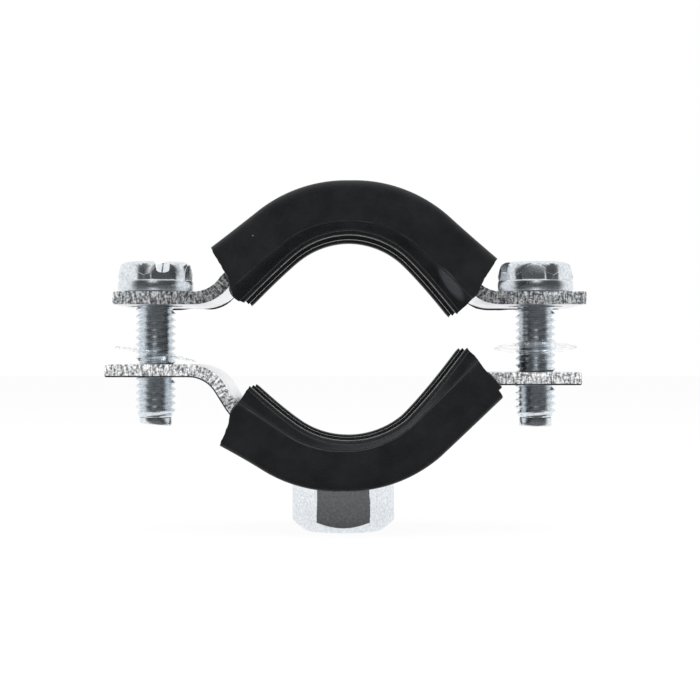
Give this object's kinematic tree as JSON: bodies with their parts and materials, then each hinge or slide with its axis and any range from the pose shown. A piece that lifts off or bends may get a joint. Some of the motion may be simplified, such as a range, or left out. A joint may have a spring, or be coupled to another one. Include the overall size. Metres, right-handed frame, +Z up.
{
  "type": "rubber lined pipe clamp",
  "caption": "Two-piece steel pipe clamp with rubber linings, opened on its side screws, with a threaded connection nut for a hanging or stand-off rod.",
  "frame": {"origin": "centre of the connection nut's end face, where a rod enters it", "axes": "+Z up from the nut towards the pipe, X from the left ears to the right ears, Y along the pipe with the front at -Y"},
  "size_m": [0.0672, 0.024, 0.0495],
  "materials": {
    "band_steel": "galvanised sheet with sheared edges",
    "lining_rubber": "satin black extruded rubber",
    "screw_steel": "bright blue-white zinc plate",
    "clear_plastic": "clear, thin and glossy",
    "nut_steel": "zinc plated, speckled"
  },
  "bodies": {
    "lower_half": {"lower_band": "band_steel", "lower_lining": "lining_rubber", "connection_nut": "nut_steel"},
    "upper_half": {"upper_band": "band_steel", "upper_lining": "lining_rubber"},
    "left_screw": {"left_screw": "screw_steel"},
    "right_screw": {"right_screw": "screw_steel"},
    "left_washer": {"left_retaining_washer": "clear_plastic"},
    "right_washer": {"right_retaining_washer": "clear_plastic"}
  },
  "joints": [
    {"name": "clamp_travel", "type": "slide", "parent": "lower_half", "child": "upper_half", "axis": [0, 0, 1], "range_m": [-0.005, 0.006]},
    {"name": "left_screw_turn", "type": "hinge", "parent": "upper_half", "child": "left_screw", "pos_m": [-0.02717, 0, 0.0343], "axis": [0, 0, 1], "range_deg": [-1801, 2161]},
    {"name": "right_screw_turn", "type": "hinge", "parent": "upper_half", "child": "right_screw", "pos_m": [0.02783, 0, 0.0343], "axis": [0, 0, 1], "range_deg": [-1801, 2161]},
    {"name": "left_washer_travel", "type": "slide", "parent": "lower_half", "child": "left_washer", "axis": [0, 0, 1], "range_m": [-0.00031, 0.00037]},
    {"name": "right_washer_travel", "type": "slide", "parent": "lower_half", "child": "right_washer", "axis": [0, 0, 1], "range_m": [-0.00251, 0.00301]}
  ],
  "couplings": [
    {"joint": "left_screw_turn", "follows": "clamp_travel", "rad_per_m": 6283.2},
    {"joint": "right_screw_turn", "follows": "clamp_travel", "rad_per_m": 6283.2},
    {"joint": "left_washer_travel", "follows": "clamp_travel", "ratio": 0.06},
    {"joint": "right_washer_travel", "follows": "clamp_travel", "ratio": 0.5}
  ]
}
